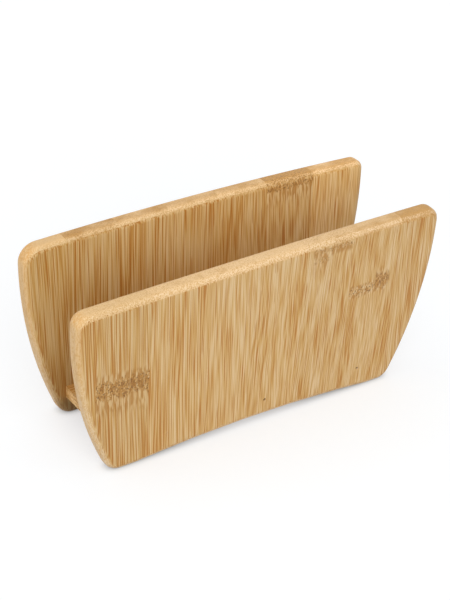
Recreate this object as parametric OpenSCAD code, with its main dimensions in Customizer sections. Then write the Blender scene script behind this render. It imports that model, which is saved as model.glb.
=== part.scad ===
// Bamboo napkin holder: two boards of upright staves, leaning slightly apart, pinned to a narrow base.
// X runs along the boards, -Y is the front, and Z = 0 is the table. The origin is midway between the boards.

/* [Front board] */
// Width at the widest line
front_w = 180; // [174:1:200]
// Height at the middle of the crowned top
front_h = 84; // [80:0.5:110]
// Rise of the crowned top over the board's width
front_crown_h = 0.8; // [0.5:0.1:5]
// Slope of the crowned top, up towards the right end, in degrees
front_slope = 1.05; // [0:0.05:3]
// Height of the widest line above the table
front_widest_h = 76; // [60:0.5:77]
// Radius of the curved sides
front_side_r = 169; // [140:1:400]
// Radius of the top left corner
front_left_corner_r = 6; // [3:0.5:15]
// Radius of the top right corner
front_right_corner_r = 6; // [3:0.5:15]
// Width of the cut stave at the left end, at the widest line
front_left_w = 9; // [4:0.5:30]
// Width of the cut stave at the right end, at the widest line
front_right_w = 21; // [4:0.5:30]

/* [Back board] */
// Width at the widest line
back_w = 173; // [168:1:200]
// Height at the middle of the crowned top
back_h = 87; // [83:0.5:110]
// Rise of the crowned top over the board's width
back_crown_h = 1.8; // [0.5:0.1:5]
// Height of the widest line above the table
back_widest_h = 78.5; // [60:0.5:80]
// Radius of the curved sides
back_side_r = 188; // [140:1:400]
// Radius of the top left corner
back_left_corner_r = 8.5; // [3:0.5:15]
// Radius of the top right corner
back_right_corner_r = 4; // [3:0.5:15]
// Width of the cut stave at the left end, at the widest line
back_left_w = 19.5; // [4:0.5:30]
// Width of the cut stave at the right end, at the widest line
back_right_w = 3.5; // [3:0.5:30]

/* [Both boards] */
// Thickness of a board
board_t = 8.7; // [7:0.1:14]
// Rise of the arch under a board
arch_h = 2.9; // [1:0.1:5]
// Span of the arch between the two feet
arch_w = 120; // [100:1:124]
// Radius of the bottom corners
bottom_corner_r = 7; // [4:0.5:15]
// Radius of the rounded edges
edge_r = 3; // [1:0.1:3.4]
// Lean of each board away from the other, in degrees
splay = 2; // [0:0.1:6]
// Clear width between the boards at the table
gap_w = 36; // [28:0.5:60]
// Thickness sanded off flat under the feet
foot_cut = 0.3; // [0.2:0.05:0.5]

/* [Base] */
// Length of the base board
base_l = 137; // [100:1:140]
// Thickness of the base board
base_t = 5.5; // [4:0.1:9]
// Height of the base's underside above the table
base_z = 9.5; // [6:0.1:12]

/* [Pins] */
// Distance of a pin from the seam to its left, as one faces each board
pin_inset = 10; // [5:0.5:15]
// Height of a pin's head on the board's outer face
pin_h = 11.3; // [10.8:0.1:12]
// Length of a pin
pin_l = 20; // [16:0.5:26]
// Diameter of a pin's shank
pin_d = 0.8; // [0.6:0.1:1.2]
// Diameter of a pin's head
head_d = 1.2; // [1.2:0.1:2.4]
// Thickness of a pin's head
head_t = 0.5; // [0.4:0.1:1.2]
// Depth that a head is driven below the board's face
head_set = 0.6; // [0.2:0.1:1.5]
// Clearance around a pin and at its point
pin_clear = 0.03; // [0.01:0.01:0.1]

/* [Hidden] */
// Whole staves of equal width lie between the cut ones at a board's ends
whole_staves = 6;
stave_count = whole_staves + 2;

// Each board's sizes, in the order of the functions below. The back one's top has no slope, and its pins
// lie on the other side of their seams, as it is seen from the front here.
front_board = [
    front_w, front_h, front_crown_h, front_slope, front_widest_h, front_side_r,
    front_left_corner_r, front_right_corner_r, front_left_w, front_right_w, pin_inset
];
back_board = [
    back_w, back_h, back_crown_h, 0, back_widest_h, back_side_r,
    back_left_corner_r, back_right_corner_r, back_left_w, back_right_w, -pin_inset
];
function width(b) = b[0];
function height(b) = b[1];
function crown_h(b) = b[2];
function slope(b) = b[3];
function widest_h(b) = b[4];
function side_r(b) = b[5];
function left_corner_r(b) = b[6];
function right_corner_r(b) = b[7];
function left_w(b) = b[8];
function right_w(b) = b[9];
function pin_shift(b) = b[10];

// Spacing of the points along the curved sides, and along the crown and the arch
side_step = 5;
crown_step = 6;
// Angle from one slab of the rounded edge to the next
edge_angle = 15;
corner_facets = 48;
pin_facets = 32;
overrun = 5;

// Height by which the leaning board's lowest edge would lie below its own outline
edge_drop = (board_t - edge_r) * sin(splay) + edge_r * (1 - cos(splay));
board_lift = (edge_drop - foot_cut) / cos(splay);

front_tones = ["#d3ae74", "#c39a5f", "#d6b277", "#d0a96e", "#d4b078", "#cba468", "#d2ac70", "#d5b075"];
back_tones = ["#c09556", "#b98d4f", "#c39a5b", "#bd9153", "#c1975a", "#b0834a", "#c8a063", "#c39a5b"];
base_tone = "#c8a067";
pin_tone = "#6a5a48";

// Radius of an arc of the given span and rise, and how far it falls from its top at a distance from the middle
function arc_r(span, rise) = span * span / (8 * rise) + rise / 2;
function arc_fall(r, distance) = r - sqrt(r * r - distance * distance);

function side_x(b, z) = width(b) / 2 - arc_fall(side_r(b), z - widest_h(b));
function crown_z(b, x) = height(b) + x * tan(slope(b)) - arc_fall(arc_r(width(b), crown_h(b)), x);
function arch_z(x) = arch_h - arc_fall(arc_r(arch_w, arch_h), x);

// Values from one end to the other in equal steps no longer than the given one
function steps(from, to, step) = [for (n = ceil((to - from) / step), i = [0 : n]) from + (to - from) * i / n];
function reversed(list) = [for (i = [len(list) - 1 : -1 : 0]) list[i]];

// Staves and the seams after them are counted from the left end
function whole_w(b) = (width(b) - left_w(b) - right_w(b)) / whole_staves;
function seam_x(b, i) = left_w(b) - width(b) / 2 + (i - 1) * whole_w(b);
function stave_from(b, i) = i == 1 ? -width(b) / 2 - overrun : seam_x(b, i - 1);
function stave_to(b, i) = i == stave_count ? width(b) / 2 + overrun : seam_x(b, i);

// Curved sides of a board, taken past its top and its underside
module sides(b) {
    heights = steps(0, height(b) + width(b) / 2 * tan(slope(b)), side_step);
    right = [for (z = heights) [side_x(b, z), z]];
    polygon(concat(right, [for (p = reversed(right)) [-p[0], p[1]]]));
}

// Crowned top and arched underside of a board, taken past its sides
module crown_and_arch(b) {
    reach = width(b) / 2;
    top = [for (x = steps(-reach, reach, crown_step)) [x, crown_z(b, x)]];
    arch = [for (x = steps(-arch_w / 2, arch_w / 2, crown_step)) [x, arch_z(x)]];
    polygon(concat(top, [[reach, 0]], reversed(arch), [[-reach, 0]]));
}

module sharp_outline(b) {
    intersection() {
        sides(b);
        crown_and_arch(b);
    }
}

module rounded_outline(b, corner_r) {
    offset(r = corner_r, $fn = corner_facets)
        offset(delta = -corner_r)
            sharp_outline(b);
}

module window(from, to) {
    translate(from)
        square(to - from);
}

// Outline of a board, with a radius for each top corner and one for both bottom corners
module board_outline(b) {
    middle = height(b) / 2;
    intersection() {
        rounded_outline(b, left_corner_r(b));
        window([-width(b), middle], [0, height(b) + overrun]);
    }
    intersection() {
        rounded_outline(b, right_corner_r(b));
        window([0, middle], [width(b), height(b) + overrun]);
    }
    intersection() {
        rounded_outline(b, bottom_corner_r);
        window([-width(b), -overrun], [width(b), middle]);
    }
}

// The part of a board between two seams. Slabs that grow thinner towards the outline round its edges.
module board_piece(b, x_from, x_to) {
    hull()
        for (a = [0 : edge_angle : 90])
            rotate([90, 0, 0])
                linear_extrude(height = board_t - 2 * edge_r * (1 - sin(a)), center = true)
                    intersection() {
                        offset(delta = -edge_r * (1 - cos(a)))
                            board_outline(b);
                        window([x_from, -overrun], [x_to, height(b) + overrun]);
                    }
}

// Puts a board's own frame in place behind the gap, with its inner face leaning away from the middle
module lean() {
    translate([0, gap_w / 2, 0])
        rotate([-splay, 0, 0])
            children();
}

// Turns what stands behind the gap round to the front
module to_front() {
    mirror([0, 1, 0])
        children();
}

// Every second stave has a pin, clear of the seams
function pin_places(b) = [for (i = [2 : 2 : whole_staves]) seam_x(b, i) + pin_shift(b)];

// A pin driven square to the board's outer face, with the given clearance all round it
module pin(clear) {
    head_y = board_t - head_set;
    translate([0, head_y + (clear > 0 ? head_set + overrun : 0), pin_h])
        rotate([90, 0, 0])
            cylinder(h = head_t + (clear > 0 ? head_set + overrun : 0), d = head_d + 2 * clear, $fn = pin_facets);
    translate([0, head_y, pin_h])
        rotate([90, 0, 0])
            cylinder(h = pin_l + clear, d = pin_d + 2 * clear, $fn = pin_facets);
}

module pins(b, clear) {
    lean()
        for (x = pin_places(b))
            translate([x, 0, 0])
                pin(clear);
}

module stave(b, i) {
    difference() {
        intersection() {
            lean()
                translate([0, board_t / 2, board_lift])
                    board_piece(b, stave_from(b, i), stave_to(b, i));
            translate([-width(b), 0, 0])
                cube([2 * width(b), gap_w + height(b), height(b) + overrun]);
        }
        pins(b, pin_clear);
    }
}

module front_stave(i) {
    color(front_tones[i - 1])
        to_front()
            stave(front_board, i);
}

module back_stave(i) {
    color(back_tones[i - 1])
        stave(back_board, i);
}

// One of the two strips of the base, with its outer edge bevelled to the lean of the board it meets
module base_strip(b) {
    y_low = gap_w / 2 + base_z * tan(splay);
    y_high = gap_w / 2 + (base_z + base_t) * tan(splay);
    difference() {
        translate([-base_l / 2, 0, 0])
            rotate([90, 0, 90])
                linear_extrude(height = base_l)
                    polygon([[0, base_z], [y_low, base_z], [y_high, base_z + base_t], [0, base_z + base_t]]);
        pins(b, pin_clear);
    }
}

module base_strip_front() {
    color(base_tone)
        to_front()
            base_strip(front_board);
}

module base_strip_back() {
    color(base_tone)
        base_strip(back_board);
}

module front_pins() {
    color(pin_tone)
        to_front()
            pins(front_board, 0);
}

module back_pins() {
    color(pin_tone)
        pins(back_board, 0);
}

for (i = [1 : stave_count]) {
    front_stave(i);
    back_stave(i);
}
base_strip_front();
base_strip_back();
front_pins();
back_pins();
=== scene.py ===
"""Bamboo napkin holder on a pale floor: the look of its staves, base strips and pins."""
import math
from collections import namedtuple

import bmesh
import bpy
from mathutils import Matrix, Vector


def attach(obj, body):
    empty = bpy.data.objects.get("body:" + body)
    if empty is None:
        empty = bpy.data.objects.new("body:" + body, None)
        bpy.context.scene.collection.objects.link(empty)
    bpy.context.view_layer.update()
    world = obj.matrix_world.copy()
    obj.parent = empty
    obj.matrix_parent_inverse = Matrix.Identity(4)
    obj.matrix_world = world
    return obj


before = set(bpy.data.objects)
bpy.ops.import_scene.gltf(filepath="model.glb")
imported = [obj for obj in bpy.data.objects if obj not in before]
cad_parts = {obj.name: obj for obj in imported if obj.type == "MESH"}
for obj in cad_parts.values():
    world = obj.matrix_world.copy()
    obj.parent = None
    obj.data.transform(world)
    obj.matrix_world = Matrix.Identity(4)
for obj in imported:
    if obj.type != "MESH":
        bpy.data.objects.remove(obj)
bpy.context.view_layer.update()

MM = 0.001

# Lean of the boards and half the clear width between them at the table, as in the model
SPLAY = math.radians(2)
HALF_GAP = 18 * MM
# Direction in Y from the gap to each board
FRONT = -1.0
BACK = 1.0

# Camera, for a picture of 450 x 600 pixels, with its sensor's height in mm
PICTURE_H = 600
FOCAL_PX = 1771.6
SENSOR_H = 24.0
CAMERA_AZIMUTH = math.radians(-35.138)
CAMERA_ELEVATION = math.radians(31.692)
CAMERA_ROLL = math.radians(3.35)
CAMERA_DISTANCE = 763.2 * MM
CAMERA_TARGET = Vector((-0.9, 0, 48.4)) * MM
CAMERA_CLIP = 10 * MM

# Light: a dome that is dimmer near the horizon, and two very wide lamps, from the front left and the left.
# Each lamp has its strength, the angle that it covers and where it shines from.
DOME_LOW = 0.28
DOME_HIGH = 0.88
LAMPS = {
    "key": (1.60, math.radians(60), Vector((-0.40, -0.82, 0.40))),
    "side": (0.68, math.radians(60), Vector((-0.93, 0.25, 0.30))),
}

# Floor: its width in metres, and the colour that lights the object. The camera sees another colour and a
# glow, most of which fades where the object stands close over the floor, as a painted contact shadow.
FLOOR_SIZE = 8
FLOOR_ALBEDO = 0.42
FLOOR_SEEN_COLOUR = (0.425, 0.460, 0.475)
FLOOR_SEEN_GLOW = (0.608, 0.592, 0.594)
FLOOR_PAINTED_SHADOW_REACH = 3.9 * MM
FLOOR_PAINTED_SHADOW_GAIN = 0.9

# Colours, linear
WHITE = (1.0, 1.0, 1.0)
RUST = (0.50, 0.210, 0.042)
HONEY = (0.62, 0.350, 0.104)
STRAW = (0.71, 0.460, 0.192)
PALE = (0.79, 0.570, 0.310)
NODE_DARK = (0.15, 0.065, 0.020)
NODE_BROWN = (0.33, 0.145, 0.033)
NODE_TAN = (0.49, 0.235, 0.056)
NODE_AMBER = (0.60, 0.335, 0.105)
END_PALE = (0.82, 0.550, 0.275)
END_LIGHT = (0.94, 0.720, 0.460)
END_TAN = (0.60, 0.330, 0.100)
END_BROWN = (0.32, 0.160, 0.055)
SIDE_PALE = (0.90, 0.700, 0.460)
SIDE_TAN = (0.79, 0.530, 0.255)
CORNER_HONEY = (0.72, 0.390, 0.120)
PIN_DARK = (0.06, 0.045, 0.035)
PIN_RUST = (0.16, 0.085, 0.045)

# Ramps, as places and colours
FACE_RAMP = [(0.32, RUST), (0.43, HONEY), (0.54, STRAW), (0.68, PALE)]
NODE_RAMP = [(0.34, NODE_BROWN), (0.46, NODE_TAN), (0.56, NODE_AMBER), (0.68, PALE)]
BASE_RAMP = [(0.33, RUST), (0.43, HONEY), (0.53, STRAW), (0.66, PALE)]
BASE_END_RAMP = [(0.28, END_BROWN), (0.42, END_TAN), (0.56, END_PALE), (0.70, END_LIGHT)]
PIN_RAMP = [(0.35, PIN_DARK), (0.65, PIN_RUST)]

# A finish: lowest roughness and how much the grain adds, depth of the bumps in mm, specular level and metal
Finish = namedtuple("Finish", "roughness spread bump specular metallic")
BOARD_FINISH = Finish(0.40, 0.20, 0.12, 0.35, 0.0)
BASE_FINISH = Finish(0.44, 0.16, 0.12, 0.35, 0.0)
PIN_FINISH = Finish(0.40, 0.30, 0.02, 0.50, 1.0)

# Each stave: its tone and warmth, the length of its threads in mm and how far they lean, how flame-shaped its
# broad zones are, how brown and how speckled its end grain is, and the bamboo nodes that cross it
Stave = namedtuple("Stave", "tone warmth thread lean flame brown specks nodes")
FRONT_STAVES = [
    Stave(0.98, 1.3, 34, 0.06, 0.1, 0.12, 0.50, []),
    Stave(0.96, 1.3, 34, 0.06, 0.1, 0.20, 0.50, ["left", "left_block"]),
    Stave(1.02, 0.3, 30, 0.05, 0.2, 0.40, 0.50, []),
    Stave(1.03, -0.2, 24, 0.045, 0.5, 0.36, 0.50, []),
    Stave(1.02, -0.2, 17, 0.02, 0.9, 0.18, 0.45, []),
    Stave(1.00, -0.5, 15, -0.01, 1.0, 0.46, 0.65, ["front_top", "front_vee"]),
    Stave(1.00, -0.5, 14, -0.01, 1.0, 0.54, 0.30, ["right", "right_tip"]),
    Stave(1.00, -1.2, 20, 0.04, 0.6, 0.87, 0.25, []),
]
BACK_STAVES = [
    Stave(0.95, 1.0, 34, 0.045, 0.1, 0.10, 0.20, []),
    Stave(0.95, 0.3, 34, 0.01, 0.1, 0.68, 0.45, []),
    Stave(0.98, 0.0, 34, 0.01, 0.1, 0.52, 0.45, []),
    Stave(1.00, 0.0, 30, 0.01, 0.3, 0.52, 0.45, []),
    Stave(1.02, 0.0, 20, 0.02, 0.8, 0.56, 0.50, []),
    Stave(1.04, 0.0, 16, 0.05, 1.0, 1.30, 0.70, ["back_top"]),
    Stave(1.18, -1.2, 18, 0.0, 0.8, 0.70, 0.35, []),
    Stave(1.08, -0.8, 20, 0.0, 0.8, 0.36, 0.30, []),
]
# Change of red, green and blue for one step of warmth, as a share of each
WARMTH_STEP = (0.0, -0.012, -0.055)

# Seeds, which move each stave's and strip's noises so that no two pieces look alike, and further moves, which
# keep noises of one piece apart
SEED_STEP = 13.7
BACK_SEED = 171.3
BASE_SEEDS = {"front": 31.0, "back": 49.0}
STROKES_MOVE, FINGERS_MOVE, RUST_MOVE, MOTTLE_MOVE, PITS_MOVE = 3.0, 5.0, 7.0, 9.0, 11.0

# A noise: cycles per mm along each axis, detail, roughness and distortion. On the boards the axes are the
# board's own, with the grain along the third, and on the base and the pins they are the scene's.
Noise = namedtuple("Noise", "pitch detail roughness distortion", defaults=(0.0, 0.5, 0.0))
# A layer over another colour: the values between which it sets in, and how much it covers at most
Layer = namedtuple("Layer", "none full cover")

# Faces: threads, whose third pitch is for threads 1 mm long, with single rust-coloured ones, bands and clouds
WIDE_THREADS = Noise((1.7, 1.7, 1.0))
THIN_THREADS = Noise((2.9, 2.9, 1.2))
THREAD_DRIFT = Noise((0.10, 0.10, 0.02), 1.0)
RUST_THREADS = Noise((2.2, 2.2, 1.3))
RUST_LAYER = Layer(0.62, 0.72, 0.55)
BANDS = Noise((0.26, 0.26, 0.006))
BAND_DRIFT = Noise((0.05, 0.05, 0.025), 1.0)
CLOUDS = Noise((0.06, 0.06, 0.025), 1.0)
# Value of a face without its noises, and the share of each noise in it. These pairs and the next ones depend
# on a stave's flame: the number without any, and the change for a full one.
FACE_MIDDLE = 0.52
WIDE_SHARE = (0.56, -0.34)
THIN_SHARE = (0.85, -0.18)
BAND_SHARE = (0.12, 0.18)
CLOUD_SHARE = (0.18, -0.10)
# How far the threads and the bands stray sideways in mm, how far the bands lean and how much shorter they are
THREAD_STRAY = (0.7, 2.2)
BAND_STRAY = (0.0, 8.0)
BAND_LEAN = (0.0, -0.08)
BAND_SHORTENING = (1.0, 1.5)

# Bamboo nodes: middle of the mottled band along the board and up it, its half width and half height, how it
# rises along the board, how far the strokes reach below and above it, how strong it is and how dark
NodeBand = namedtuple("NodeBand", "x z half_x half_z rise reach_down reach_up strength darker")
NODE_BANDS = {
    "left": NodeBand(-68.5, 42.8, 13.4, 4.2, -0.10, 13.0, 6.0, 0.95, -0.01),
    "left_block": NodeBand(-61.8, 44.0, 3.4, 2.8, 0.0, 1.0, 2.0, 0.8, 0.07),
    "right": NodeBand(54.0, 54.2, 10.5, 1.9, 0.03, 2.5, 2.0, 0.9, -0.08),
    "right_tip": NodeBand(61.6, 56.4, 3.7, 3.2, 0.0, 1.5, 5.0, 0.85, 0.06),
    "front_top": NodeBand(33.0, 80.2, 10.5, 0.9, 0.0, 4.0, 1.0, 0.7, -0.03),
    "front_vee": NodeBand(27.0, 76.0, 4.0, 1.2, 0.0, 8.0, 2.0, 0.5, -0.03),
    "back_top": NodeBand(45.0, 83.0, 13.0, 1.4, 0.0, 11.0, 2.0, 0.85, 0.0),
}
# How far a band wavers up and down, and how far its ends are blurred to each side, in mm
NODE_LINE = Noise((0.30, 0.30, 0.0), 1.0)
NODE_WAVER = 2.5
NODE_END_BLUR = 0.8
# Strokes: by how much their noise moves next to the band, where near is 1, and the values of near between
# which they fade in
NODE_STROKES = Noise((1.1, 1.1, 0.13), 1.0)
STROKE_GAIN = 0.06
STROKE_NEAR = (0.0, 0.6)
DARK_STROKE_LAYER = Layer(0.51, 0.62, 0.80)
PALE_STROKE_LAYER = Layer(0.46, 0.36, 0.60)
# The band's core: how ragged its edges are in half heights, how blurred in mm, and how much it covers
NODE_FINGERS = Noise((0.9, 0.9, 0.06), 1.0)
NODE_RAGGED = 2.4
NODE_EDGE_BLUR = 0.5
NODE_COVER = 0.90
NODE_MOTTLE = Noise((1.1, 1.1, 0.55), 2.0, 0.65, 0.4)
NODE_PITS = Noise((1.6, 1.6, 1.0))
PIT_LAYER = Layer(0.58, 0.67, 0.70)

# What a part of the board is, by its normal: where it starts to be the inner face, an end, the rounded rim of
# an end or a corner, and where it is so in full. The rim also stops, where the end is flat.
INNER_FACE = (-0.45, -0.95)
END_START = (0.16, 0.34)
RIM_START = (0.25, 0.50)
RIM_STOP = (0.97, 0.80)
CORNER_START = (0.25, 0.85)
# The ends start raggedly among the threads, and both ends and sides start later towards the inner face
END_RAGGED = 0.7
END_INNER_SHIFT = -0.18
SIDE_INNER_SHIFT = -0.25
# A corner's normal has two equal parts, whose product is one half at most
CORNER_GAIN = 2.0

# End grain of the boards: browner patches, and dark and light specks made of dots and of finer grit. The
# light specks are fewer where it is brown and more on the rounded rim, which is also less brown: a painted
# highlight along the rim.
END_DOTS = Noise((1.8, 1.8, 0.7))
END_GRIT = Noise((3.1, 3.1, 1.3))
END_PATCHES = Noise((0.11, 0.20, 0.05), 2.0)
DOT_SHARE = 0.8
GRIT_SHARE = 1.0
BROWN_MIDDLE = 0.5
RIM_HIGHLIGHT_LESS_BROWN = -0.15
BROWN_START = (0.30, 0.85)
DARK_SPECKS = (0.02, 0.20)
LIGHT_SPECKS = (0.02, -0.16)
LIGHT_COVER = 0.20
LIGHT_ON_BROWN = -0.18
RIM_HIGHLIGHT_SPECKS = 0.40
# Height of the specks in the bumps, where a face's height is its value
SPECK_HEIGHT = 0.6

# Sawn sides of the boards: tan streaks, more warmth from one height in mm to another, and honey corners
SIDE_GRAIN = Noise((1.3, 1.3, 0.30), 2.0, 0.7)
SIDE_GRIT_SHARE = 0.5
SIDE_TAN_START = (0.42, 0.66)
SIDE_TOP_WARMTH = (0.90, 0.81, 0.67)
SIDE_WARM_UP = (20.0, 60.0)
SAWN_LAYER = Layer(0.22, 0.68, 0.85)
CORNER_LAYER = Layer(0.35, 0.60, 0.65)

# The back board is a little warmer. Its inner face, between the boards, is darker and warmer as painted
# shade, and
# has more painted shade at the left foot: from where that shade starts to where it is full, by the normal,
# and up the board and along it in mm
BACK_WARMTH = (1.00, 0.97, 0.92)
BACK_INNER_PAINTED_SHADE = (0.91, 0.90, 0.82)
BACK_FOOT_PAINTED_SHADE = (0.62, 0.57, 0.48)
BACK_FOOT_FACE = (0.2, -0.6)
BACK_FOOT_UP = (46.0, 0.0)
BACK_FOOT_ALONG = (-48.0, -66.0)
# The same foot's lowest part, under the base, has darker painted shade still
BACK_SOLE_PAINTED_SHADE = (0.66, 0.63, 0.56)
BACK_SOLE_UP = (11.0, 6.0)

# Base strips: their value without its noises and the share of each, for the faces and for the ends
BASE_WIDE_THREADS = Noise((0.03, 0.9, 0.9), 1.0, 0.6)
BASE_THIN_THREADS = Noise((0.06, 2.0, 2.0), 1.0, 0.6)
BASE_MIDDLE = 0.40
BASE_WIDE_SHARE = 0.8
BASE_THIN_SHARE = 0.6
BASE_DOTS = Noise((0.5, 1.5, 1.5), 2.0, 0.7)
BASE_LAYERS = Noise((0.1, 0.12, 0.9), 2.0, 0.7)
BASE_END_MIDDLE = 0.5
BASE_DOT_SHARE = 0.55
BASE_LAYER_SHARE = 0.9
# Where the ends start, by the normal, and their colour beside the boards' end grain
BASE_END_START = (0.30, 0.85)
BASE_END_WARMTH = (0.90, 0.81, 0.64)

PIN_STAIN = Noise((3.0, 3.0, 3.0), 3.0, 0.6)

# Smooth shading of the rounded edges: the angle between two faces where it stops, and how strongly the larger
# faces count in it, of 100
SHARP_ANGLE = math.radians(40)
NORMAL_WEIGHT = 100

# Filler over the front board's left pin: its place along and up the board, and its outline as radius and
# distance out from the board's inner face, in mm. It has the bamboo of the stave that it is in.
FILLER_X = -46.0
FILLER_Z = 11.3
FILLER_OUTLINE = [(0.60, 8.15), (0.60, 8.62), (0.50, 8.69), (0.25, 8.72)]
FILLER_SIDES = 24
FILLER_BAMBOO = "front_stave_3_bamboo"


class Graph:
    """A node tree that is built afresh, with a short method for each kind of node used here."""

    def __init__(self, tree):
        self.tree = tree
        self.tree.nodes.clear()

    def node(self, kind, inputs, **settings):
        made = self.tree.nodes.new(kind)
        for name, value in settings.items():
            setattr(made, name, value)
        for key, value in inputs.items():
            self.put(made.inputs[key], value)
        return made

    def put(self, socket, value):
        if isinstance(value, bpy.types.NodeSocket):
            self.tree.links.new(value, socket)
        elif isinstance(value, tuple) and socket.type == "RGBA":
            socket.default_value = (*value, 1.0)
        else:
            socket.default_value = value

    def math(self, operation, a, b=0.0, clamp=False):
        return self.node("ShaderNodeMath", {0: a, 1: b}, operation=operation, use_clamp=clamp).outputs[0]

    def add(self, *values):
        total = values[0]
        for value in values[1:]:
            total = self.math("ADD", total, value)
        return total

    def minus(self, a, b, clamp=False):
        return self.math("SUBTRACT", a, b, clamp)

    def times(self, *values):
        product = values[0]
        for value in values[1:]:
            product = self.math("MULTIPLY", product, value)
        return product

    def absolute(self, value):
        return self.math("ABSOLUTE", value)

    def off_half(self, value, gain):
        """The value's distance from one half, times the gain."""
        return self.times(self.minus(value, 0.5), gain)

    def mapped(self, vector, scale, offset=(0, 0, 0), turn=(0, 0, 0)):
        inputs = {"Vector": vector, "Scale": scale, "Location": offset, "Rotation": turn}
        return self.node("ShaderNodeMapping", inputs).outputs[0]

    def parts(self, vector):
        return self.node("ShaderNodeSeparateXYZ", {0: vector}).outputs

    def joined(self, x, y, z):
        return self.node("ShaderNodeCombineXYZ", {0: x, 1: y, 2: z}).outputs[0]

    def noise(self, place, noise, offset=(0, 0, 0), shortening=1.0):
        """The noise, with its third pitch times the shortening, moved so that it looks unlike the others."""
        x, y, z = noise.pitch
        return self.node("ShaderNodeTexNoise", {
            "Vector": self.mapped(place, (x, y, z * shortening), offset), "Scale": 1.0,
            "Detail": noise.detail, "Roughness": noise.roughness, "Distortion": noise.distortion,
        }).outputs[0]

    def smooth(self, value, none, full):
        """0 at none, 1 at full and an even curve between them."""
        inputs = {"Value": value, "From Min": none, "From Max": full}
        return self.node("ShaderNodeMapRange", inputs, interpolation_type="SMOOTHSTEP").outputs[0]

    def layer(self, value, layer):
        """How much of the colour below the layer covers."""
        return self.times(self.smooth(value, layer.none, layer.full), layer.cover)

    def mix(self, share, a, b, blend="MIX"):
        made = self.tree.nodes.new("ShaderNodeMix")
        made.data_type = "RGBA"
        made.blend_type = blend
        for socket, value in ((made.inputs[0], share), (made.inputs[6], a), (made.inputs[7], b)):
            self.put(socket, value)
        return made.outputs[2]

    def tint(self, colour, by):
        return self.mix(1.0, colour, by, "MULTIPLY")

    def ramp(self, value, stops):
        made = self.node("ShaderNodeValToRGB", {0: value})
        elements = made.color_ramp.elements
        while len(elements) < len(stops):
            elements.new(1.0)
        for element, (place, colour) in zip(elements, stops):
            element.position = place
            element.color = (*colour, 1.0)
        return made.outputs[0]

    def finish(self, colour, grain, height, finish):
        """The shader itself, with its roughness from the grain and its bumps from the height."""
        bump = self.node("ShaderNodeBump", {"Strength": 1.0, "Distance": finish.bump * MM, "Height": height})
        shader = self.node("ShaderNodeBsdfPrincipled", {
            "Base Color": colour,
            "Roughness": self.add(finish.roughness, self.times(grain, finish.spread)),
            "Normal": bump.outputs[0],
            "Specular IOR Level": finish.specular,
            "Metallic": finish.metallic,
        })
        self.node("ShaderNodeOutputMaterial", {"Surface": shader.outputs[0]})


def new_material(name):
    """A material and the graph of its nodes."""
    material = bpy.data.materials.new(name)
    material.use_nodes = True
    return material, Graph(material.node_tree)


def by_flame(stave, pair):
    """The number that a pair gives for a stave with its own share of flame."""
    without, change = pair
    return without + change * stave.flame


# A point of a board in the board's own frame, in mm. Its place is also given as x along the board, y out from
# the inner face and z up the grain. Its normal is given as its sizes along the board and up it, and its part
# outwards. inner is 1 on the inner face.
Point = namedtuple("Point", "place x y z sideways upright outwards inner")


def board_point(g, side):
    """The point that is shaded, on the board of the given side."""
    at = g.node("ShaderNodeTexCoord", {}).outputs
    half_gap = HALF_GAP / MM
    offset = (0.0, -half_gap * math.cos(SPLAY), -half_gap * math.sin(SPLAY))
    turn = (SPLAY, 0.0, 0.0)
    place = g.mapped(at["Object"], (1.0 / MM, side / MM, 1.0 / MM), offset, turn)
    sideways, outwards, upright = g.parts(g.mapped(at["Normal"], (1.0, side, 1.0), turn=turn))
    inner = g.smooth(outwards, *INNER_FACE)
    return Point(place, *g.parts(place), g.absolute(sideways), g.absolute(upright), outwards, inner)


def scene_point(g):
    """The object's coordinates in mm along the scene's axes, and its normal."""
    at = g.node("ShaderNodeTexCoord", {}).outputs
    return g.mapped(at["Object"], (1.0 / MM, 1.0 / MM, 1.0 / MM)), at["Normal"]


def threads(g, point, stave, seed):
    """Thin fibres up the board, as two noises of different pitch and the place that they are drawn at."""
    drift = g.noise(point.place, THREAD_DRIFT, (seed, 0, 0))
    shift = g.add(g.times(point.z, stave.lean), g.off_half(drift, by_flame(stave, THREAD_STRAY)))
    at = g.joined(g.add(point.x, shift), point.y, point.z)
    wide = g.noise(at, WIDE_THREADS, (seed, seed, 0), 1.0 / stave.thread)
    thin = g.noise(at, THIN_THREADS, (0, seed, seed), 1.0 / stave.thread)
    return wide, thin, at


def zones(g, point, stave, seed):
    """Broad paler and browner zones: straight bands, or leaning flames on staves cut flat, and clouds."""
    drift = g.noise(point.place, BAND_DRIFT, (seed, 0, seed))
    lean = g.times(point.z, by_flame(stave, BAND_LEAN))
    shift = g.add(lean, g.off_half(drift, by_flame(stave, BAND_STRAY)))
    at = g.joined(g.add(point.x, shift), point.y, point.z)
    bands = g.noise(at, BANDS, (seed, 0, seed), by_flame(stave, BAND_SHORTENING))
    clouds = g.noise(point.place, CLOUDS, (0, seed, seed))
    return bands, clouds


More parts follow.
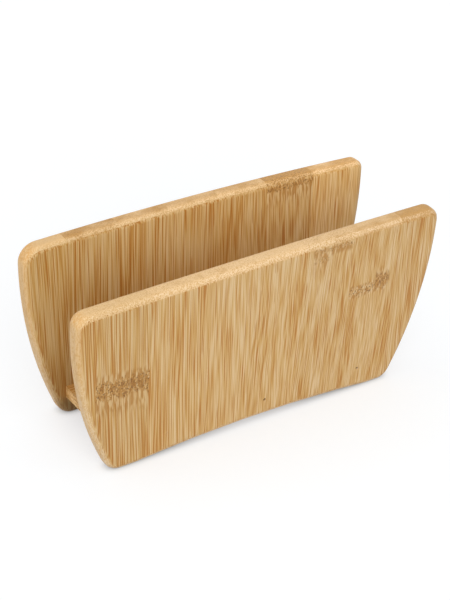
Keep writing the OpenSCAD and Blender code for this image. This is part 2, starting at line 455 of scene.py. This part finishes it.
def add_node_band(g, colour, point, at, band):
    """The colour with a bamboo node across it: a ragged mottled band, and strokes above and below it."""
    from_x = g.minus(point.x, band.x)
    line = g.noise(point.place, NODE_LINE, (band.z, 0, 0))
    line = g.add(g.times(from_x, band.rise), g.off_half(line, NODE_WAVER), band.z)
    above = g.minus(point.z, line)
    below = g.times(above, -1.0)
    within = g.smooth(g.absolute(from_x), band.half_x + NODE_END_BLUR, band.half_x - NODE_END_BLUR)
    within = g.times(within, band.strength)

    # Dark and pale strokes, fewer with the distance from the band
    strokes = g.noise(at, NODE_STROKES, (band.x, STROKES_MOVE, 0))
    fade_down = g.smooth(below, band.half_z + band.reach_down, band.half_z)
    fade_up = g.smooth(above, band.half_z + band.reach_up, band.half_z)
    near = g.times(fade_down, fade_up, within)
    shown = g.smooth(near, *STROKE_NEAR)
    dark = g.layer(g.add(strokes, g.times(near, STROKE_GAIN)), DARK_STROKE_LAYER)
    pale = g.layer(g.add(strokes, g.times(near, -STROKE_GAIN)), PALE_STROKE_LAYER)
    colour = g.mix(g.times(dark, shown), colour, NODE_TAN)
    colour = g.mix(g.times(pale, shown), colour, PALE)

    # Mottled core with ragged edges and a few dark pits
    fingers = g.noise(at, NODE_FINGERS, (band.x, FINGERS_MOVE, 0))
    ragged = g.off_half(fingers, NODE_RAGGED * band.half_z)
    edge = (band.half_z + NODE_EDGE_BLUR, band.half_z - NODE_EDGE_BLUR)
    core = g.times(g.smooth(g.add(below, ragged), *edge), g.smooth(g.add(above, ragged), *edge), within)
    mottle = g.minus(g.noise(at, NODE_MOTTLE, (band.x, MOTTLE_MOVE, 0)), band.darker)
    colour = g.mix(g.times(core, NODE_COVER), colour, g.ramp(mottle, NODE_RAMP))
    pits = g.layer(g.noise(at, NODE_PITS, (band.x, PITS_MOVE, 0)), PIT_LAYER)
    return g.mix(g.times(core, pits), colour, NODE_DARK)


def end_grain(g, point, stave, seed, grit):
    """Colour of the end grain, with a painted highlight along its rounded rim, and the value of its specks,
    high for dark ones and low for light ones.
    """
    patches = g.noise(point.place, END_PATCHES, (0, 0, seed))
    # The rounded rim of the end gets a painted highlight: less brown here, and more light specks below
    painted_highlight_rim = g.times(g.smooth(point.upright, *RIM_START), g.smooth(point.upright, *RIM_STOP))
    patches = g.add(patches, stave.brown - BROWN_MIDDLE, g.times(painted_highlight_rim, RIM_HIGHLIGHT_LESS_BROWN))
    brown = g.smooth(patches, *BROWN_START)
    dots = g.noise(point.place, END_DOTS, (seed, 0, 0))
    specks = g.add(g.off_half(dots, DOT_SHARE), g.off_half(grit, GRIT_SHARE))
    dark = g.times(g.smooth(specks, *DARK_SPECKS), stave.specks)
    colour = g.mix(dark, g.mix(brown, END_PALE, END_TAN), g.mix(brown, END_TAN, END_BROWN))
    # More light specks on the rim: the rest of the painted highlight
    light_cover = g.add(LIGHT_COVER, g.times(brown, LIGHT_ON_BROWN), g.times(painted_highlight_rim, RIM_HIGHLIGHT_SPECKS))
    light = g.times(g.smooth(specks, *LIGHT_SPECKS), light_cover)
    return g.mix(light, colour, END_LIGHT), specks


def add_sawn_sides(g, colour, point, seed, grit):
    """The colour with the sides over it, which are sawn along the grain, and then the corners."""
    grain = g.noise(point.place, SIDE_GRAIN, (0, seed, 0))
    tan = g.smooth(g.add(grain, g.off_half(grit, SIDE_GRIT_SHARE)), *SIDE_TAN_START)
    warmth = g.mix(g.smooth(point.z, *SIDE_WARM_UP), WHITE, SIDE_TOP_WARMTH)
    side_colour = g.tint(g.mix(tan, SIDE_PALE, SIDE_TAN), warmth)
    sawn = g.layer(g.add(point.sideways, g.times(point.inner, SIDE_INNER_SHIFT)), SAWN_LAYER)
    colour = g.mix(sawn, colour, side_colour)
    corner = g.smooth(g.times(point.sideways, point.upright, CORNER_GAIN), *CORNER_START)
    return g.mix(g.times(corner, g.layer(grain, CORNER_LAYER)), colour, CORNER_HONEY)


def back_colour_and_painted_shade(g, colour, point):
    """The colour made warmer for the back board, with painted shade on its inner face between the boards,
    more at its left foot and more still under the base.
    """
    painted_shade_at_foot = g.times(g.smooth(point.x, *BACK_FOOT_ALONG), g.smooth(point.outwards, *BACK_FOOT_FACE))
    # Painted shade on the inner face, between the boards
    colour = g.tint(colour, g.mix(point.inner, BACK_WARMTH, BACK_INNER_PAINTED_SHADE))
    # Painted shade at the left foot, and darker painted shade at its lowest part under the base
    for up_to, shade in ((BACK_FOOT_UP, BACK_FOOT_PAINTED_SHADE), (BACK_SOLE_UP, BACK_SOLE_PAINTED_SHADE)):
        share = g.times(painted_shade_at_foot, g.smooth(point.z, *up_to))
        colour = g.mix(share, colour, g.tint(colour, shade))
    return colour


def board_bamboo(name, side, stave, seed):
    """Bamboo with its fibres up the board: streaks on the faces, dots on the ends and paler sawn sides."""
    material, g = new_material(name)
    point = board_point(g, side)

    wide, thin, at = threads(g, point, stave, seed)
    bands, clouds = zones(g, point, stave, seed)
    shares = ((wide, WIDE_SHARE), (thin, THIN_SHARE), (bands, BAND_SHARE), (clouds, CLOUD_SHARE))
    value = g.add(FACE_MIDDLE, *(g.off_half(noise, by_flame(stave, share)) for noise, share in shares))
    colour = g.ramp(value, FACE_RAMP)
    rusty = g.noise(at, RUST_THREADS, (seed, RUST_MOVE, seed), 1.0 / stave.thread)
    colour = g.mix(g.layer(rusty, RUST_LAYER), colour, RUST)
    for band in stave.nodes:
        colour = add_node_band(g, colour, point, at, NODE_BANDS[band])

    grit = g.noise(point.place, END_GRIT, (0, seed, 0))
    end_colour, specks = end_grain(g, point, stave, seed, grit)
    end = g.add(point.upright, g.off_half(thin, END_RAGGED), g.times(point.inner, END_INNER_SHIFT))
    end = g.smooth(end, *END_START)
    colour = g.mix(end, colour, end_colour)
    colour = add_sawn_sides(g, colour, point, seed, grit)

    colour = g.tint(colour, tuple(stave.tone * (1.0 + stave.warmth * step) for step in WARMTH_STEP))
    # The back board's inner face gets painted shade, darker at its left foot
    if side == BACK:
        colour = back_colour_and_painted_shade(g, colour, point)
    g.finish(colour, thin, g.add(value, g.times(specks, end, SPECK_HEIGHT)), BOARD_FINISH)
    return material


def base_bamboo(name, seed):
    """Bamboo with its fibres along X, for the base strips."""
    material, g = new_material(name)
    place, normal = scene_point(g)
    wide = g.noise(place, BASE_WIDE_THREADS, (seed, seed, 0))
    thin = g.noise(place, BASE_THIN_THREADS, (0, seed, seed))
    value = g.add(BASE_MIDDLE, g.off_half(wide, BASE_WIDE_SHARE), g.off_half(thin, BASE_THIN_SHARE))
    dots = g.noise(place, BASE_DOTS, (seed, 0, 0))
    layers = g.noise(place, BASE_LAYERS, (seed, 0, 0))
    end_value = g.add(g.off_half(dots, BASE_DOT_SHARE), g.off_half(layers, BASE_LAYER_SHARE), BASE_END_MIDDLE)
    end = g.smooth(g.absolute(g.parts(normal)[0]), *BASE_END_START)
    end_colour = g.tint(g.ramp(end_value, BASE_END_RAMP), BASE_END_WARMTH)
    colour = g.mix(end, g.ramp(value, BASE_RAMP), end_colour)
    g.finish(colour, thin, g.add(value, g.times(dots, end)), BASE_FINISH)
    return material


def pin_steel(name):
    """Dull dark steel of the pins."""
    material, g = new_material(name)
    place, _ = scene_point(g)
    stain = g.noise(place, PIN_STAIN)
    g.finish(g.ramp(stain, PIN_RAMP), stain, stain, PIN_FINISH)
    return material


def dress(node, material):
    """Gives a CAD node its material, and shades its rounded edges smoothly without changing its shape."""
    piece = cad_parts[node]
    for slot in piece.material_slots:
        slot.material = material
    piece.data.shade_smooth()
    piece.data.set_sharp_from_angle(angle=SHARP_ANGLE)
    normals = piece.modifiers.new("normals", "WEIGHTED_NORMAL")
    normals.keep_sharp = True
    normals.weight = NORMAL_WEIGHT


def dress_all():
    boards = (("front", FRONT, FRONT_STAVES, 0.0), ("back", BACK, BACK_STAVES, BACK_SEED))
    for word, side, staves, first_seed in boards:
        for number, stave in enumerate(staves, 1):
            name = f"{word}_stave_{number}"
            dress(name, board_bamboo(f"{name}_bamboo", side, stave, SEED_STEP * number + first_seed))
        dress(f"base_strip_{word}", base_bamboo(f"base_{word}_bamboo", BASE_SEEDS[word]))
        dress(f"{word}_pins", pin_steel(f"{word}_pin_steel"))


def add_pin_filler():
    """A small domed plug of bamboo filler over a pin of the front board, level with the board's face."""
    shape = bmesh.new()
    turns = [2 * math.pi * i / FILLER_SIDES for i in range(FILLER_SIDES)]
    rings = []
    for radius, out in FILLER_OUTLINE:
        ring = [(FILLER_X + radius * math.cos(t), out, FILLER_Z + radius * math.sin(t)) for t in turns]
        rings.append([shape.verts.new(Vector(corner) * MM) for corner in ring])
    for ring, following in zip(rings, rings[1:]):
        for i in range(FILLER_SIDES):
            j = (i + 1) % FILLER_SIDES
            shape.faces.new((ring[i], ring[j], following[j], following[i]))
    shape.faces.new(rings[0])
    shape.faces.new(rings[-1])
    lean = Matrix.Translation((0, HALF_GAP, 0)) @ Matrix.Rotation(-SPLAY, 4, "X")
    bmesh.ops.transform(shape, matrix=Matrix.Scale(FRONT, 4, (0, 1, 0)) @ lean, verts=shape.verts)
    bmesh.ops.recalc_face_normals(shape, faces=shape.faces)
    mesh = bpy.data.meshes.new("front_pin_filler")
    shape.to_mesh(mesh)
    shape.free()
    mesh.materials.append(bpy.data.materials[FILLER_BAMBOO])
    piece = bpy.data.objects.new("front_pin_filler", mesh)
    bpy.context.scene.collection.objects.link(piece)
    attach(piece, "root")


def add_camera():
    level = math.cos(CAMERA_ELEVATION)
    back = Vector((
        math.sin(CAMERA_AZIMUTH) * level,
        -math.cos(CAMERA_AZIMUTH) * level,
        math.sin(CAMERA_ELEVATION),
    ))
    right = Vector((0, 0, 1)).cross(back).normalized()
    up = back.cross(right)
    cos, sin = math.cos(CAMERA_ROLL), math.sin(CAMERA_ROLL)
    right, up = right * cos + up * sin, up * cos - right * sin
    data = bpy.data.cameras.new("camera")
    data.sensor_fit = "VERTICAL"
    data.sensor_height = SENSOR_H
    data.lens = FOCAL_PX / PICTURE_H * SENSOR_H
    data.clip_start = CAMERA_CLIP
    camera = bpy.data.objects.new("camera", data)
    turn = Matrix((right, up, back)).transposed()
    camera.matrix_world = Matrix.Translation(CAMERA_TARGET + back * CAMERA_DISTANCE) @ turn.to_4x4()
    bpy.context.scene.collection.objects.link(camera)
    bpy.context.scene.camera = camera


def seen_or_mirrored(g):
    """1 for what is seen by the camera, in a reflection or through glass, 0 for light on the object."""
    path = g.node("ShaderNodeLightPath", {}).outputs
    share = g.math("MAXIMUM", path["Is Camera Ray"], path["Is Glossy Ray"])
    return g.math("MAXIMUM", share, path["Is Transmission Ray"])


def add_floor():
    """A pale floor that is white to the camera where nothing shades it, with a contact shadow painted into
    its glow close under the object.
    """
    bpy.ops.mesh.primitive_plane_add(size=FLOOR_SIZE)
    floor = bpy.context.object
    floor.name = "floor"
    material, g = new_material("floor_paper")
    seen = seen_or_mirrored(g)
    colour = g.mix(seen, (FLOOR_ALBEDO,) * 3, FLOOR_SEEN_COLOUR)
    paper = g.node("ShaderNodeBsdfDiffuse", {"Color": colour}).outputs[0]
    # The glow fades with ambient occlusion near the object: a painted contact shadow
    open_share = g.node("ShaderNodeAmbientOcclusion", {"Distance": FLOOR_PAINTED_SHADOW_REACH}).outputs["AO"]
    closed = g.minus(1.0, open_share)
    glow_outside_painted_shadow = g.minus(1.0, g.times(closed, closed, FLOOR_PAINTED_SHADOW_GAIN), clamp=True)
    strength = g.times(seen, glow_outside_painted_shadow)
    glow = g.node("ShaderNodeEmission", {"Color": FLOOR_SEEN_GLOW, "Strength": strength}).outputs[0]
    both = g.node("ShaderNodeAddShader", {0: paper, 1: glow}).outputs[0]
    g.node("ShaderNodeOutputMaterial", {"Surface": both})
    floor.data.materials.append(material)


def add_lights():
    world = bpy.data.worlds.new("world")
    bpy.context.scene.world = world
    world.use_nodes = True
    g = Graph(world.node_tree)
    direction = g.node("ShaderNodeTexCoord", {}).outputs["Generated"]
    dome = {"Value": g.parts(direction)[2], "To Min": DOME_LOW, "To Max": DOME_HIGH}
    lit = g.node("ShaderNodeMapRange", dome).outputs[0]
    strength = g.math("MAXIMUM", seen_or_mirrored(g), lit)
    sky = g.node("ShaderNodeBackground", {"Color": WHITE, "Strength": strength}).outputs[0]
    g.node("ShaderNodeOutputWorld", {"Surface": sky})

    for name, (strength, angle, shines_from) in LAMPS.items():
        data = bpy.data.lights.new(name, "SUN")
        data.energy = strength
        data.angle = angle
        lamp = bpy.data.objects.new(name, data)
        lamp.rotation_euler = (-shines_from).to_track_quat("-Z", "Y").to_euler()
        bpy.context.scene.collection.objects.link(lamp)


add_camera()
add_floor()
add_lights()
dress_all()
add_pin_filler()
bpy.context.scene.view_settings.view_transform = "Standard"
